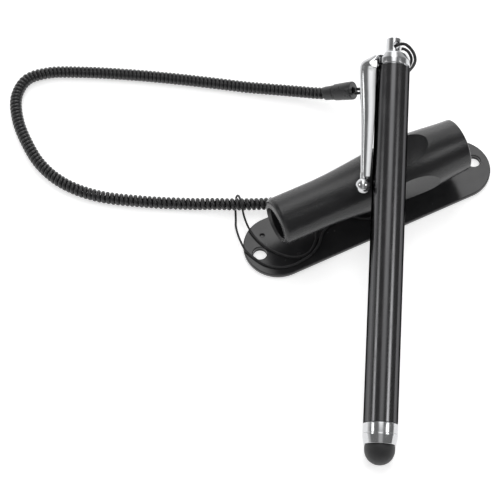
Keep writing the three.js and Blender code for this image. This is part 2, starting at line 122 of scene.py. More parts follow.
class StylusSizes(bpy.types.PropertyGroup):
    """Sizes that the frame's boxes don't give."""

    edge: FloatProperty(
        name="Moulded edge", description="Rounding of moulded edges", default=0.22 * MM, unit="LENGTH"
    )
    mounting_hole: FloatProperty(
        name="Mounting hole", description="Diameter of the plate's holes", default=3.8 * MM, unit="LENGTH"
    )
    hole_spacing: FloatProperty(
        name="Hole spacing", description="Between the mounting holes", default=67.2 * MM, unit="LENGTH"
    )
    holder_height: FloatProperty(
        name="Holder height", description="Holder axis above the table", default=14.2 * MM, unit="LENGTH"
    )
    holder_end: FloatProperty(
        name="Narrow end", description="Diameter at the narrow end", default=13.2 * MM, unit="LENGTH"
    )
    holder_mouth: FloatProperty(
        name="Mouth", description="Diameter at the mouth", default=14.7 * MM, unit="LENGTH"
    )
    holder_belly: FloatProperty(
        name="Belly", description="Largest diameter", default=16.9 * MM, unit="LENGTH"
    )
    wire: FloatProperty(
        name="Wire", description="Diameter of the tether's coated wire", default=1.2 * MM, unit="LENGTH"
    )
    pitch: FloatProperty(
        name="Pitch", description="From one turn of the tether to the next", default=1.15 * MM, unit="LENGTH"
    )
    loose_pitch: FloatProperty(
        name="Loose pitch", description="The same, at the holder's end", default=1.36 * MM, unit="LENGTH"
    )
    turn_points: IntProperty(
        name="Points per turn", description="Along each turn of the wire", default=14, min=12, max=24
    )


class StylusColours(bpy.types.PropertyGroup):
    """Base colours of the finishes."""

    moulded: FloatVectorProperty(
        name="Moulded black", description="Plate and holder", subtype="COLOR", default=(0.017, 0.017, 0.018)
    )
    lacquer: FloatVectorProperty(
        name="Lacquer", description="Barrel", subtype="COLOR", default=(0.115, 0.115, 0.118)
    )
    plating: FloatVectorProperty(
        name="Plating", description="Bright metal", subtype="COLOR", default=(0.62, 0.625, 0.635)
    )
    rubber: FloatVectorProperty(
        name="Rubber", description="Dome tip", subtype="COLOR", default=(0.024, 0.024, 0.025)
    )
    coating: FloatVectorProperty(
        name="Wire coating", description="Tether", subtype="COLOR", default=(0.02, 0.02, 0.021)
    )
    thread: FloatVectorProperty(
        name="Thread", description="Thin loops", subtype="COLOR", default=(0.012, 0.012, 0.013)
    )


# ---- shader expressions ----------------------------------------------------------------


class Signal:
    """A number that a node gives. Arithmetic on it adds Math nodes."""

    def __init__(self, nodes, socket):
        self.nodes = nodes
        self.socket = socket

    def maths(self, operation, first, second):
        return self.nodes.node("ShaderNodeMath", {"operation": operation}, {0: first, 1: second})

    def __add__(self, other):
        return self.maths("ADD", self, other)

    __radd__ = __add__

    def __sub__(self, other):
        return self.maths("SUBTRACT", self, other)

    def __rsub__(self, other):
        return self.maths("SUBTRACT", other, self)

    def __mul__(self, other):
        return self.maths("MULTIPLY", self, other)

    __rmul__ = __mul__

    def __abs__(self):
        return self.maths("ABSOLUTE", self, 0.0)


class NodeSet:
    """A node tree under construction."""

    def __init__(self, tree):
        self.tree = tree

    def node(self, kind, settings=None, sockets=None, out=0):
        """Adds a node. Its settings come first, then its sockets' values or links."""
        made = self.tree.nodes.new(kind)
        for name, value in (settings or {}).items():
            setattr(made, name, value)
        for name, value in (sockets or {}).items():
            self.feed(made.inputs[name], value)
        return Signal(self, made.outputs[out])

    def feed(self, socket, value):
        if isinstance(value, Signal):
            self.tree.links.new(value.socket, socket)
        else:
            socket.default_value = value

    def surface_point(self):
        """The point on the piece in millimetres."""
        point = self.node("ShaderNodeTexCoord", out="Object")
        return self.node("ShaderNodeVectorMath", {"operation": "SCALE"}, {0: point, "Scale": 1 / MM})

    def noise(self, point, scale, detail=2.0):
        return self.node(
            "ShaderNodeTexNoise", sockets={"Vector": point, "Scale": scale, "Detail": detail}
        )

    def spread(self, value, low, high, bottom, top):
        """value from low..high carried to bottom..top, and held there beyond."""
        settings = {"interpolation_type": "SMOOTHSTEP"}
        sockets = {"Value": value, "From Min": low, "From Max": high, "To Min": bottom, "To Max": top}
        return self.node("ShaderNodeMapRange", settings, sockets)

    def tint(self, share, dark, light):
        """A colour between two, by a share from 0 to 1."""
        settings = {"data_type": "RGBA"}
        sockets = {"Factor": share, 6: (*dark, 1.0), 7: (*light, 1.0)}
        return self.node("ShaderNodeMix", settings, sockets, out=2)


class Finish(NodeSet):
    """A procedural material with one Principled shader."""

    def __init__(self, name, **constants):
        self.material = bpy.data.materials.new(name)
        self.material.use_nodes = True
        super().__init__(self.material.node_tree)
        self.shader = self.tree.nodes["Principled BSDF"]
        for socket, value in constants.items():
            self.give(socket.replace("_", " "), value)

    def give(self, socket, value):
        self.feed(self.shader.inputs[socket], value)

    def raise_by(self, height, distance, strength=1.0):
        """Bumps the surface by a height from 0 to 1, distance in metres at 1."""
        sockets = {"Height": height, "Distance": distance, "Strength": strength}
        self.give("Normal", self.node("ShaderNodeBump", sockets=sockets))


def scaled(colour, factor):
    return tuple(channel * factor for channel in colour)


def gloss_moulding():
    """Polished moulded plastic with faint ripples and fine rubbing marks."""
    base = bpy.context.scene.stylus_colours.moulded
    finish = Finish("gloss_moulding", IOR=1.5)
    point = finish.surface_point()
    marks = finish.noise(point, 0.35, 4.0)
    finish.give("Base Color", finish.tint(marks, scaled(base, 1.0), scaled(base, 1.6)))
    finish.give("Roughness", finish.spread(marks, 0.35, 0.75, 0.2, 0.28))
    finish.raise_by(finish.noise(point, 0.12, 1.0), 0.02 * MM, 0.25)
    return finish.material


def grained_moulding():
    """Satin moulded plastic with a fine spark-eroded grain."""
    base = bpy.context.scene.stylus_colours.moulded
    finish = Finish("grained_moulding", IOR=1.46)
    point = finish.surface_point()
    grain = finish.noise(point, 2.4, 3.0)
    patches = finish.noise(point, 0.14, 2.0)
    finish.give("Base Color", finish.tint(patches, scaled(base, 0.95), scaled(base, 1.25)))
    finish.give("Roughness", finish.spread(patches, 0.2, 0.8, 0.215, 0.255))
    finish.raise_by(grain, 0.1 * MM, 0.7)
    return finish.material


def barrel_lacquer():
    """Black anodised tube, polished, with fine marks drawn along it."""
    base = bpy.context.scene.stylus_colours.lacquer
    finish = Finish("barrel_lacquer", Metallic=1.0)
    finish.shader.inputs["Specular Tint"].default_value = (0.12, 0.12, 0.12, 1.0)
    point = finish.surface_point()
    axis = Vector(STYLUS.axis)
    sockets = {0: point, 1: tuple(axis)}
    along = finish.node("ShaderNodeVectorMath", {"operation": "DOT_PRODUCT"}, sockets, out="Value")
    sockets = {0: tuple(axis), "Scale": along * -0.94}
    slid = finish.node("ShaderNodeVectorMath", {"operation": "SCALE"}, sockets)
    drawn = finish.node("ShaderNodeVectorMath", {"operation": "ADD"}, {0: point, 1: slid})
    marks = finish.noise(drawn, 2.6, 4.0)
    wear = finish.noise(point, 0.2, 5.0)
    finish.give("Base Color", finish.tint(marks, scaled(base, 0.88), scaled(base, 1.12)))
    finish.give("Roughness", finish.spread(wear, 0.3, 0.8, 0.16, 0.25))
    finish.raise_by(marks, 0.008 * MM, 0.2)
    return finish.material


def bright_plating():
    """Chrome plate with the faint wave of the polished metal below it."""
    base = bpy.context.scene.stylus_colours.plating
    finish = Finish("bright_plating", Metallic=1.0)
    point = finish.surface_point()
    haze = finish.noise(point, 0.5, 4.0)
    finish.give("Base Color", finish.tint(haze, scaled(base, 0.93), base))
    finish.give("Roughness", finish.spread(haze, 0.3, 0.8, 0.12, 0.21))
    finish.raise_by(finish.noise(point, 0.55, 1.0), 0.01 * MM, 0.5)
    return finish.material


def dome_rubber():
    """Matte conductive rubber, a little dusty and shiny where it rubs."""
    base = bpy.context.scene.stylus_colours.rubber
    finish = Finish("dome_rubber", IOR=1.42, Sheen_Weight=0.1, Sheen_Roughness=0.5)
    point = finish.surface_point()
    dust = finish.noise(point, 1.1, 6.0)
    finish.give("Base Color", finish.tint(dust, scaled(base, 0.85), scaled(base, 1.25)))
    finish.give("Roughness", finish.spread(dust, 0.3, 0.75, 0.48, 0.64))
    finish.raise_by(finish.noise(point, 7.0, 3.0), 0.02 * MM, 0.4)
    return finish.material


def pad_foam():
    """Thin cellular pad."""
    finish = Finish("pad_foam", IOR=1.45)
    point = finish.surface_point()
    sockets = {"Vector": point, "Scale": 2.6}
    cells = finish.node("ShaderNodeTexVoronoi", sockets=sockets, out="Distance")
    finish.give("Base Color", finish.tint(cells, (0.05, 0.05, 0.05), (0.1, 0.1, 0.1)))
    finish.give("Roughness", finish.spread(cells, 0.0, 0.6, 0.7, 0.92))
    finish.raise_by(cells, 0.08 * MM, 0.6)
    return finish.material


def wire_coating():
    """Semi-gloss extruded coating, slightly streaked along the wire."""
    base = bpy.context.scene.stylus_colours.coating
    finish = Finish("wire_coating", IOR=1.54)
    point = finish.surface_point()
    streaks = finish.noise(point, 1.4, 4.0)
    finish.give("Base Color", finish.tint(streaks, scaled(base, 0.8), scaled(base, 1.7)))
    finish.give("Roughness", finish.spread(streaks, 0.3, 0.75, 0.14, 0.28))
    finish.raise_by(streaks, 0.02 * MM, 0.4)
    return finish.material


def sleeve_moulding():
    """Satin moulded sleeve with soft handling marks."""
    base = bpy.context.scene.stylus_colours.moulded
    finish = Finish("sleeve_moulding", IOR=1.5)
    point = finish.surface_point()
    marks = finish.noise(point, 0.9, 5.0)
    finish.give("Base Color", finish.tint(marks, scaled(base, 1.2), scaled(base, 2.3)))
    finish.give("Roughness", finish.spread(marks, 0.3, 0.75, 0.26, 0.42))
    finish.raise_by(finish.noise(point, 5.0, 2.0), 0.02 * MM, 0.35)
    return finish.material


def braided_thread():
    """Fine polyester braid."""
    base = bpy.context.scene.stylus_colours.thread
    finish = Finish("braided_thread", IOR=1.5, Sheen_Weight=0.2, Sheen_Roughness=0.4)
    point = finish.surface_point()
    fibres = finish.noise(point, 9.0, 3.0)
    finish.give("Base Color", finish.tint(fibres, scaled(base, 0.6), scaled(base, 2.2)))
    finish.give("Roughness", finish.spread(fibres, 0.3, 0.7, 0.5, 0.75))
    finish.raise_by(fibres, 0.03 * MM, 0.6)
    return finish.material


STEEL_COLOUR = (0.6, 0.61, 0.63)
BRASS_COLOUR = (0.7, 0.52, 0.26)


def turned_metal(name, base):
    """Plain metal with fine tool marks."""
    finish = Finish(name, Metallic=1.0)
    point = finish.surface_point()
    marks = finish.noise(point, 4.0, 4.0)
    finish.give("Base Color", finish.tint(marks, scaled(base, 0.75), base))
    finish.give("Roughness", finish.spread(marks, 0.3, 0.7, 0.25, 0.42))
    finish.raise_by(marks, 0.01 * MM, 0.5)
    return finish.material


def plug_moulding():
    """Grey moulded plastic."""
    finish = Finish("plug_moulding", IOR=1.48)
    marks = finish.noise(finish.surface_point(), 1.5, 4.0)
    finish.give("Base Color", finish.tint(marks, (0.22, 0.22, 0.225), (0.32, 0.32, 0.325)))
    finish.give("Roughness", finish.spread(marks, 0.3, 0.7, 0.45, 0.6))
    return finish.material


# ---- mesh helpers ----------------------------------------------------------------------


def made_piece(name, points, faces, place=None, crease=30.0):
    """A smooth-shaded object from points in metres, its place worked into its mesh."""
    mesh = bpy.data.meshes.new(name)
    mesh.from_pydata([tuple(point) for point in points], [], faces)
    if place is not None:
        mesh.transform(place)
    mesh.validate()
    piece = bpy.data.objects.new(name, mesh)
    bpy.context.scene.collection.objects.link(piece)
    shade(piece, crease)
    return piece


def shade(piece, crease):
    piece.data.shade_smooth()
    piece.data.set_sharp_from_angle(angle=math.radians(crease))


def rounded(outline, closed=True, steps=5):
    """An outline of (x, y, rounding) corners as points, with an arc at each rounded corner."""
    points = []
    count = len(outline)
    for place, (x, y, radius) in enumerate(outline):
        here = Vector((x, y))
        ends = not closed and place in (0, count - 1)
        if radius <= 0 or ends:
            points.append(tuple(here))
            continue
        before = Vector(outline[place - 1][:2]) - here
        after = Vector(outline[(place + 1) % count][:2]) - here
        half = before.angle(after) / 2
        reach = min(radius / math.tan(half), before.length * 0.49, after.length * 0.49)
        start = here + before.normalized() * reach
        end = here + after.normalized() * reach
        for step in range(steps + 1):
            share = step / steps
            low = start.lerp(here, share)
            high = here.lerp(end, share)
            points.append(tuple(low.lerp(high, share)))
    return points


def lathe(outline, sides=96):
    """Points and faces of an outline of (radius, along) pairs turned about +Z.

    It runs from the axis round to the axis, or round a closed ring.
    """
    points = []
    rings = []
    for radius, along in outline:
        ring = []
        if radius < 1e-7:
            ring.append(len(points))
            points.append((0.0, 0.0, along))
        else:
            for side in range(sides):
                angle = 2 * math.pi * side / sides
                ring.append(len(points))
                points.append((radius * math.cos(angle), radius * math.sin(angle), along))
        rings.append(ring)
    faces = []
    ringed = len(rings[0]) > 1
    for low, high in zip(rings, rings[1:] + ([rings[0]] if ringed else [])):
        for side in range(sides):
            after = (side + 1) % sides
            if len(low) == 1 and len(high) == 1:
                continue
            if len(low) == 1:
                faces.append((low[0], high[after], high[side]))
            elif len(high) == 1:
                faces.append((low[side], low[after], high[0]))
            else:
                faces.append((low[side], low[after], high[after], high[side]))
    return points, faces


def turned_piece(name, outline, place=None, sides=96, crease=30.0):
    points, faces = lathe(outline, sides)
    return made_piece(name, points, faces, place, crease)


def carve(piece, cutters, crease=30.0):
    """Cuts other objects out of a piece, and removes them."""
    for cutter in cutters:
        modifier = piece.modifiers.new("carve", "BOOLEAN")
        modifier.operation = "DIFFERENCE"
        modifier.solver = "EXACT"
        modifier.object = cutter
    graph = bpy.context.evaluated_depsgraph_get()
    carved = bpy.data.meshes.new_from_object(piece.evaluated_get(graph))
    piece.modifiers.clear()
    piece.data = carved
    for cutter in cutters:
        bpy.data.objects.remove(cutter)
    shade(piece, crease)


def even_normals(piece):
    """Keeps large faces flat-looking where they meet the small ones of a cut."""
    modifier = piece.modifiers.new("even_normals", "WEIGHTED_NORMAL")
    modifier.keep_sharp = True


def distances(points, power=1.0):
    """How far along a line each of its points is, its steps raised to a power."""
    steps = np.linalg.norm(np.diff(points, axis=0), axis=1) ** power
    return np.concatenate([[0], np.cumsum(steps)])


def smooth_route(points, step):
    """Points a step apart on a centripetal curve through a route's points."""
    stops = np.array(points, float)
    stops = np.vstack([2 * stops[0] - stops[1], stops, 2 * stops[-1] - stops[-2]])
    found = []
    for place in range(1, len(stops) - 2):
        four = stops[place - 1 : place + 3]
        knots = distances(four, 0.5)
        times = np.linspace(knots[1], knots[2], 24, endpoint=False)[:, None]
        a = [
            (knots[i + 1] - times) / (knots[i + 1] - knots[i]) * four[i]
            + (times - knots[i]) / (knots[i + 1] - knots[i]) * four[i + 1]
            for i in range(3)
        ]
        b = [
            (knots[i + 2] - times) / (knots[i + 2] - knots[i]) * a[i]
            + (times - knots[i]) / (knots[i + 2] - knots[i]) * a[i + 1]
            for i in range(2)
        ]
        share = (times - knots[1]) / (knots[2] - knots[1])
        found.append((1 - share) * b[0] + share * b[1])
    line = np.vstack([*found, stops[-2:-1]])
    lengths = distances(line)
    count = max(2, int(round(lengths[-1] / step)) + 1)
    even = np.linspace(0, lengths[-1], count)
    return np.column_stack([np.interp(even, lengths, line[:, axis]) for axis in range(3)]), lengths[-1]


def travelling_frames(line):
    """Two directions across a line at each of its points, without twist."""
    forward = np.gradient(line, axis=0)
    forward /= np.linalg.norm(forward, axis=1)[:, None]
    first = np.cross(forward[0], [0.0, 0.0, 1.0])
    across = [first / np.linalg.norm(first)]
    for way in forward[1:]:
        kept = across[-1] - (across[-1] @ way) * way
        across.append(kept / np.linalg.norm(kept))
    across = np.array(across)
    return across, np.cross(forward, across)


def swept(line, radius_at, sides):
    """Points and faces of a tube along a line. radius_at takes (point's place, angle)."""
    across, above = travelling_frames(line)
    angles = 2 * np.pi * np.arange(sides) / sides
    points = []
    for place, point in enumerate(line):
        radii = radius_at(place, angles)
        ring = np.outer(np.cos(angles) * radii, across[place])
        ring += np.outer(np.sin(angles) * radii, above[place])
        points.extend(point + ring)
    faces = []
    for place in range(len(line) - 1):
        low = place * sides
        for side in range(sides):
            after = (side + 1) % sides
            faces.append((low + side, low + after, low + sides + after, low + sides + side))
    faces.append(tuple(range(sides - 1, -1, -1)))
    last = (len(line) - 1) * sides
    faces.append(tuple(range(last, last + sides)))
    return points, faces


def finish_piece(piece, material, body, slot, *nodes):
    """Gives a piece its material and body, and hides the nodes that it stands for. Its slot is not used."""
    piece.data.materials.clear()
    piece.data.materials.append(material)
    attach(piece, body)
    if nodes:
        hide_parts(*nodes)
    return piece


def refinish(node, material):
    """Gives a node of the frame that stays in view its material."""
    NODES[node].data.materials.clear()
    NODES[node].data.materials.append(material)


# ---- routes of the tether and its two loops, in millimetres ----------------------------

TABLE_LINE = 1.65
COIL_ROUTE = [
    (6.0, 37.7, 4.5), (4.9, 38.6, 4.05), (-0.6, 43.1, 2.9), (-6.1, 47.3, 2.1),
    (-11.8, 51.3, 1.7), (-17.4, 55.3, TABLE_LINE), (-28.8, 63.2, TABLE_LINE),
    (-40.5, 70.8, TABLE_LINE), (-52.5, 77.8, TABLE_LINE), (-60.9, 81.7, TABLE_LINE),
    (-67.2, 82.2, TABLE_LINE), (-72.1, 78.3, TABLE_LINE), (-75.0, 71.0, TABLE_LINE),
    (-76.0, 61.8, TABLE_LINE), (-75.4, 53.1, TABLE_LINE), (-72.2, 44.8, TABLE_LINE),
    (-65.8, 37.1, TABLE_LINE), (-54.9, 29.4, TABLE_LINE), (-43.5, 22.7, 1.8),
    (-37.8, 19.4, 2.4), (-32.7, 16.5, 2.65), (-27.3, 13.9, 2.65), (-23.7, 12.2, 2.9),
    (-20.4, 11.1, 3.6), (-17.8, 10.2, 4.2), (-15.3, 9.2, 4.45),
]
PEN_LOOP_ROUTE = [
    (13.05, 31.95, 9.4), (14.1, 30.95, 10), (15.4, 29.7, 11.1), (17, 28, 12.9),
    (18.7, 25.9, 15.8), (20.1, 23.6, 19.8), (21.2, 21.3, 24.2), (21.9, 19.4, 28.4),
    (22.2, 18.3, 32), (22.15, 17.95, 34.8), (21.8, 18.55, 37), (21.1, 19.7, 38.5),
    (20.3, 20.8, 39.1), (19.4, 21.6, 38.8), (18.8, 22.3, 37.8), (18.4, 23.2, 36),
    (18, 24.1, 34.2), (18.3, 24.46, 33.27), (19.35, 24.58, 32.45), (20.67, 24.29, 32.54),
    (21.68, 23.39, 33.15), (22.14, 21.95, 33.55), (22.23, 20.53, 33.39), (22.12, 19.65, 32.54),
    (21.86, 19.56, 30.9), (21.41, 20.42, 28.22), (20.69, 22.22, 24.55), (19.2, 24.2, 20.4),
    (17.6, 25.9, 16.5), (16, 27.4, 13.3), (14.55, 28.9, 11.05), (13.25, 30.15, 9.6),
    (12.2, 31.1, 8.95),
]
BASE_LOOP_ROUTE = [
    (-6.5, 4.8, 4.45), (-5.6, 4.3, 4.3), (-4.9, 3.2, 3.7), (-5.2, 2.4, 3),
    (-6.4, 1.5, 2.4), (-9, 0.9, 2.2), (-13.2, 0.7, 2.2), (-16.6, -0.9, 2.2),
    (-18.3, -3.4, 2.2), (-20.9, -5.6, 2.2), (-23.6, -6.2, 2.2), (-26.2, -5.4, 2.2),
    (-28.2, -3.8, 2.2), (-30.2, -1.2, 2.2), (-31.6, 1.3, 2.2), (-32.6, 4.6, 2.2),
    (-32.9, 8.2, 2.5), (-32.7, 11.2, 3.3), (-32.3, 13.2, 4.3), (-31.9, 14.8, 4.95),
    (-31.5, 16.4, 5.05), (-31.3, 17.9, 4.3), (-31.4, 18.7, 2.8), (-31.8, 18.5, 1.2),
    (-32.4, 17.4, 0.4), (-33.1, 16, 0.35), (-33.8, 14.5, 0.5), (-34.6, 12.8, 1),
    (-35.6, 10.8, 1.8), (-36.4, 8, 2.3), (-36.8, 5.2, 2.3), (-36.8, 2.2, 2.2),
    (-35.8, -0.8, 2.2), (-34.5, -3.5, 2.2), (-32.9, -5.3, 2.2), (-30.6, -6.8, 2.2),
    (-28, -7.5, 2.2), (-25.2, -7.5, 2.2), (-21.4, -6.8, 2.2), (-18.2, -5, 2.2),
    (-15.6, -2.3, 2.2), (-12.6, -0.8, 2.2), (-9, -0.4, 2.2), (-5.8, -1.1, 2.2),
    (-3.6, -2.9, 2.2), (0.4, -4.2, 2.2), (3.4, -2.9, 2.2), (4.5, 0.2, 2.2),
    (3.4, 3.2, 2.4), (0.5, 4.9, 3), (-2.6, 5.5, 3.9), (-4.9, 5.5, 4.4),
    (-6.2, 5.6, 4.45),
]
COIL_DIAMETER = 3.3 * MM
COIL_SWELL = 0.24 * MM
LOOP_DIAMETER = 0.6 * MM
PEN_LOOP_DIAMETER = 0.85 * MM


def in_metres(route):
    return np.array(route, float) * MM


# ---- stage -----------------------------------------------------------------------------

VIEW_AZIMUTH = -26.73
VIEW_ELEVATION = 59.0
VIEW_TARGET = (-35.1 * MM, 3.1 * MM, 0.0)
VIEW_DISTANCE = 527.7 * MM
VIEW_LENS = 138.6
VIEW_SENSOR = 36.0
FLOOR_HALF = 3.0
FLOOR_LEVEL = -0.02 * MM


def direction(azimuth, elevation):
    """Unit vector to a point seen at that azimuth and elevation, azimuth 0 being towards -Y."""
    a = math.radians(azimuth)
    e = math.radians(elevation)
    return Vector((math.sin(a) * math.cos(e), -math.cos(a) * math.cos(e), math.sin(e)))


class STYLUS_OT_stage(bpy.types.Operator):
    """Make the camera, the floor, the soft lights and the surroundings"""

    bl_idname = "stylus.stage"
    bl_label = "Stage"

    def execute(self, context):
        scene = context.scene
        scene.view_settings.view_transform = "Standard"
        self.add_camera(scene)
        self.add_floor(scene)
        self.set_world(scene)
        return {"FINISHED"}

    def add_camera(self, scene):
        camera = bpy.data.objects.new("camera", bpy.data.cameras.new("camera"))
        camera.data.lens = VIEW_LENS
        camera.data.sensor_width = VIEW_SENSOR
        camera.data.clip_start = 10 * MM
        back = direction(VIEW_AZIMUTH, VIEW_ELEVATION)
        camera.location = Vector(VIEW_TARGET) + back * VIEW_DISTANCE
        camera.rotation_mode = "QUATERNION"
        camera.rotation_quaternion = (-back).to_track_quat("-Z", "Y")
        scene.collection.objects.link(camera)
        scene.camera = camera

    def add_floor(self, scene):
        half = FLOOR_HALF
        corners = ((-half, -half), (half, -half), (half, half), (-half, half))
        points = [(x, y, FLOOR_LEVEL) for x, y in corners]
        floor = made_piece("floor", points, [(0, 1, 2, 3)])
        finish = Finish("floor_paper", Roughness=0.9, Emission_Strength=0.6)
        shade_share = finish.noise(finish.surface_point(), 0.01, 2.0)
        finish.give("Base Color", finish.tint(shade_share, (0.88, 0.88, 0.88), (0.92, 0.92, 0.92)))
        finish.shader.inputs["Emission Color"].default_value = (1.0, 1.0, 1.0, 1.0)
        floor.data.materials.append(finish.material)

    def set_world(self, scene):
        """A light tent: a long soft box overhead, two strips beside the tip, and paler horizons.

        Each light is a patch of directions, measured along the stylus and across it as it is seen.
        """
        world = bpy.data.worlds.new("surroundings")
        world.use_nodes = True
        nodes = NodeSet(world.node_tree)
        way = nodes.node("ShaderNodeTexCoord", out="Generated")
        axis = Vector(STYLUS.axis)
        view = direction(VIEW_AZIMUTH, VIEW_ELEVATION)
        side = axis.cross(view).normalized()
        along = self.share_towards(nodes, way, axis)
        across = self.share_towards(nodes, way, side)
        height = nodes.node("ShaderNodeSeparateXYZ", sockets={0: way}, out="Z")
        upper = nodes.spread(height, -0.05, 0.1, 0.0, 1.0)
        rise = nodes.spread(along, -0.05, 0.66, 0.35, 2.5)
        fall = nodes.spread(along, 0.76, 0.96, 1.0, 0.36)
        overhead = nodes.spread(abs(across), 0.1, 0.34, 1.0, 0.0) * rise * fall
        near_tip = nodes.spread(abs(along - 0.1), 0.08, 0.2, 1.0, 0.0) * upper
        right_strip = nodes.spread(abs(across - 0.66), 0.03, 0.15, 5.0, 0.0) * near_tip
        left_strip = nodes.spread(abs(across + 0.8), 0.03, 0.1, 3.4, 0.0) * near_tip
        low_band = nodes.spread(height, 0.15, 0.85, 1.0, 0.0)
        leftward = self.share_towards(nodes, way, (-1.0, 0.1, 0.0))
        left_glow = nodes.spread(leftward, 0.3, 0.9, 0.0, 0.55)
        left_glow = left_glow * nodes.spread(height, 0.1, 0.42, 1.0, 0.0)
        backward = self.share_towards(nodes, way, (0.3, 0.95, 0.0))
        back_glow = nodes.spread(backward, 0.3, 0.9, 0.0, 1.05)
        ambient = 0.2 + low_band * (left_glow + back_glow)
        radiance = (overhead + right_strip + left_strip) * upper + ambient
        backdrop = world.node_tree.nodes["Background"]
        nodes.feed(backdrop.inputs["Strength"], radiance)
        backdrop.inputs["Color"].default_value = (1.0, 1.0, 1.0, 1.0)
        scene.world = world

    def share_towards(self, nodes, way, aim):
        """How nearly a direction runs along an aim, from -1 to 1."""
        settings = {"operation": "DOT_PRODUCT"}
        return nodes.node("ShaderNodeVectorMath", settings, {0: way, 1: tuple(aim)}, out="Value")


# ---- cords -----------------------------------------------------------------------------


class STYLUS_OT_tether(bpy.types.Operator):
    """Wind the tether's coated wire along its route, and make the sleeves at its ends"""

    bl_idname = "stylus.tether"
    bl_label = "Tether"

    def execute(self, context):
        sizes = context.scene.stylus_sizes
        route = in_metres(COIL_ROUTE)[::-1]
        fine_step = sizes.pitch / sizes.turn_points
        line, length = smooth_route(route, fine_step)
        across, above = travelling_frames(line)
        travel = np.linspace(0, length, len(line))
        loosened = np.clip((travel / length - 0.35) / 0.5, 0, 1)[::-1]
        turns_here = 1 / (sizes.pitch + (sizes.loose_pitch - sizes.pitch) * loosened)
        phase = 2 * np.pi * np.cumsum(turns_here) * travel[1]
        winding_radius = (COIL_DIAMETER + COIL_SWELL - sizes.wire) / 2
        lift = np.array([0.0, 0.0, COIL_SWELL / 2])
        wire_line = line + lift + winding_radius * (
            np.cos(phase)[:, None] * across + np.sin(phase)[:, None] * above
        )

        def wire_radius(place, angles):
            return np.full(len(angles), sizes.wire / 2)

        points, faces = swept(wire_line, wire_radius, 10)
        tether = made_piece("tether", points, faces, crease=60.0)
        finish_piece(tether, wire_coating(), "root", "tether_coat", "tether_coil")
        sleeve_finish = sleeve_moulding()
        sleeves = [self.add_sleeve(end, sleeve_finish) for end in ("pen", "base")]
        steel = turned_metal("crimp_steel", STEEL_COLOUR)
        for node in ("pen_crimp", "base_crimp"):
            refinish(node, steel)
        return {"FINISHED"}

    def add_sleeve(self, end, material):
        node = f"{end}_connector"
        loop_start = in_metres({"pen": PEN_LOOP_ROUTE, "base": BASE_LOOP_ROUTE}[end])[0]
        turning = Turning(node, towards=loop_start)
        turning.start_at(node)
        start, top, face = turning.span(node)
        neck = 1.95 * MM
        cavity = neck - 0.75 * MM
        step = 3.3 * MM
        edge = 0.3 * MM
        hole = 0.95 * MM
        outline = rounded([
            (cavity, start, 0.05 * MM),
            (neck, start, 0.15 * MM),
            (neck + 0.15 * MM, start + step - 0.35 * MM, 0),
            (neck + 0.02 * MM, start + step - 0.25 * MM, 0),
            (neck + 0.02 * MM, start + step - 0.1 * MM, 0),
            (neck + 0.38 * MM, start + step, 0.12 * MM),
            (face, top - 1.2 * MM, 0.6 * MM),
            (face, top, edge),
            (hole + 0.25 * MM, top, 0),
            (hole, top - 0.25 * MM, 0.05 * MM),
            (hole, top - 1.2 * MM, 0),
            (cavity, top - 1.5 * MM, 0),
        ])
        sleeve = turned_piece(f"{end}_sleeve", outline, turning.place(), sides=72, crease=35.0)
        return finish_piece(sleeve, material, "root", "connector_black", node)


class STYLUS_OT_loops(bpy.types.Operator):
    """Braid the thin loops at the stylus and round the holder's neck"""

    bl_idname = "stylus.loops"
    bl_label = "Loops"

    def execute(self, context):
        thread = braided_thread()
        pen_loop = self.braid("pen_thread", PEN_LOOP_ROUTE, PEN_LOOP_DIAMETER)
        pen_loop.data.materials.append(thread)
        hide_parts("pen_loop")
        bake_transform(pen_loop)
        self.declare(pen_loop, PEN_LOOP_ROUTE, PEN_LOOP_DIAMETER)
        base_loop = self.braid("base_thread", BASE_LOOP_ROUTE, LOOP_DIAMETER)
        finish_piece(base_loop, thread, "root", "loop_cord", "base_loop")
        self.declare(base_loop, BASE_LOOP_ROUTE, LOOP_DIAMETER)
        return {"FINISHED"}

    def braid(self, name, route, diameter):
        step = 0.13 * MM
        line, _ = smooth_route(in_metres(route), step)
        strand_pitch = 0.9 * MM
        radius = diameter / 2

        def radius_at(place, angles):
            turn = 2 * math.pi * place * step / strand_pitch
            left = np.abs(np.cos(1.5 * angles + turn))
            right = np.abs(np.cos(1.5 * angles - turn))
            return radius * (0.9 + 0.13 * np.maximum(left, right))

        points, faces = swept(line, radius_at, 12)
        return made_piece(name, points, faces, crease=60.0)

    def declare(self, loop, route, diameter):
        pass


# ---- holder ----------------------------------------------------------------------------


